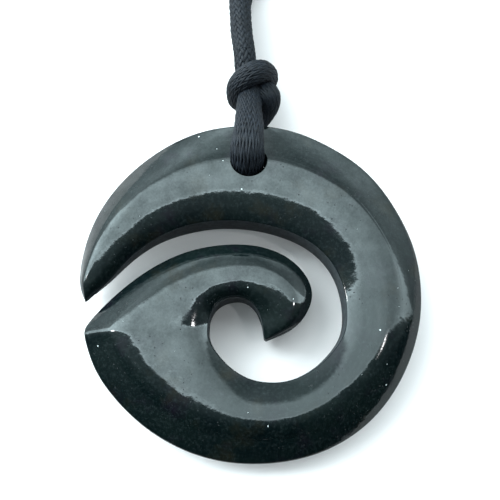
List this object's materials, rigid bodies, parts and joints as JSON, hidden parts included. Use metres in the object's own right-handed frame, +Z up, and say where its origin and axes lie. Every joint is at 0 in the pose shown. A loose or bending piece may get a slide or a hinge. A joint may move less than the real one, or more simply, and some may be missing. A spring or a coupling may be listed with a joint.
{
  "type": "jade pendant on a cord",
  "caption": "Polished dark green jade pendant carved as an open spiral with a pointed curl, laid flat on its black braided neck cord, with a fat knot above the stone.",
  "frame": {"origin": "on the surface, under the middle of the jade's own box, whose lowest edge is at Z = 0", "axes": "+X to the right as the pendant's front is seen, +Y up the pendant towards its cord, +Z up off the surface"},
  "size_m": [0.1519, 0.3131, 0.0098],
  "materials": {
    "jade": "polished",
    "cord": "satin"
  },
  "bodies": {
    "root": {"jade_pendant": "jade", "hanging_loop": "cord", "knot": "cord", "neck_cord": "cord"}
  },
  "joints": []
}
